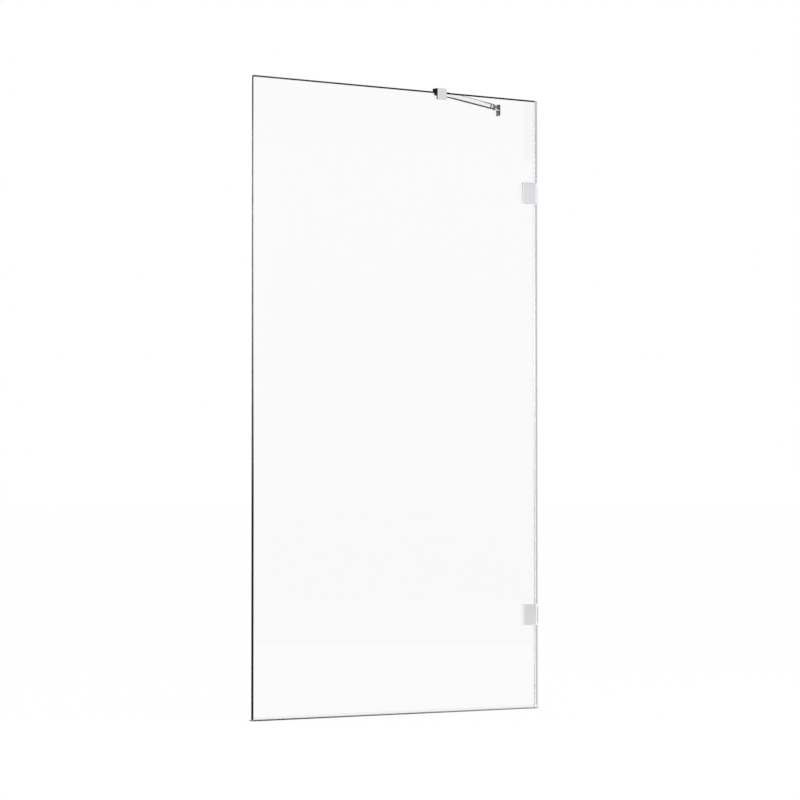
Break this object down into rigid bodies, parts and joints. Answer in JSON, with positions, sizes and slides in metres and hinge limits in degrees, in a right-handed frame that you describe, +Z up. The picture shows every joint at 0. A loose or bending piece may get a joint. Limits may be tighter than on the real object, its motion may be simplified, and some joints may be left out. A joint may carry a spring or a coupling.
{
  "type": "bath screen",
  "caption": "Frameless clear glass bath screen with flat wall clamps, clear seals, and a chrome support bar from a clip on the top edge to a swivel wall foot.",
  "frame": {"origin": "middle of the bottom seal's flat underside, on the middle plane of the glass, where the screen stands on the bath rim", "axes": "+X along the glass from its free edge to the wall, +Y through the glass to the bath side where the support bar is, +Z up"},
  "size_m": [0.8, 0.157, 1.4085],
  "materials": {
    "toughened_glass": "clear float glass with polished edges",
    "clear_pvc": "extruded, clear, slightly hazy",
    "polished_chrome": "polished chrome plate",
    "satin_chrome": "fine satin chrome plate",
    "stainless_steel": "turned stainless steel",
    "white_nylon": "moulded nylon"
  },
  "bodies": {
    "panel": {"glass_panel": "toughened_glass", "bottom_seal": "clear_pvc", "wall_seal_top": "clear_pvc", "wall_seal_middle": "clear_pvc", "wall_seal_bottom": "clear_pvc", "upper_clamp_plate": "satin_chrome", "upper_clamp_body": "polished_chrome", "upper_clamp_gasket_front": "clear_pvc", "upper_clamp_gasket_rear": "clear_pvc", "upper_clamp_bush": "white_nylon", "upper_clamp_screw": "stainless_steel", "lower_clamp_plate": "satin_chrome", "lower_clamp_body": "polished_chrome", "lower_clamp_gasket_front": "clear_pvc", "lower_clamp_gasket_rear": "clear_pvc", "lower_clamp_bush": "white_nylon", "lower_clamp_screw": "stainless_steel"},
    "top_clip": {"top_clip_body": "polished_chrome", "top_clip_liner": "clear_pvc", "top_clip_pin": "stainless_steel", "top_clip_grub_screws": "stainless_steel"},
    "support_bar": {"bar_tube": "polished_chrome", "bar_fitting_glass_end": "polished_chrome", "bar_fitting_wall_end": "polished_chrome", "bar_grub_screws": "stainless_steel"},
    "wall_foot": {"wall_foot_bracket": "polished_chrome", "wall_foot_pin": "stainless_steel"}
  },
  "joints": [
    {"name": "clip_slide", "type": "slide", "parent": "panel", "child": "top_clip", "axis": [1, 0, 0], "range_m": [-0.027, 0.123]},
    {"name": "bar_swivel", "type": "hinge", "parent": "top_clip", "child": "support_bar", "pos_m": [0.11614, 0.01595, 1.402], "axis": [0, 0, 1], "range_deg": [-24, 155]},
    {"name": "foot_swivel", "type": "hinge", "parent": "support_bar", "child": "wall_foot", "pos_m": [0.39, 0.14076, 1.39727], "axis": [0, 0, 1], "range_deg": [-65, 114]}
  ]
}
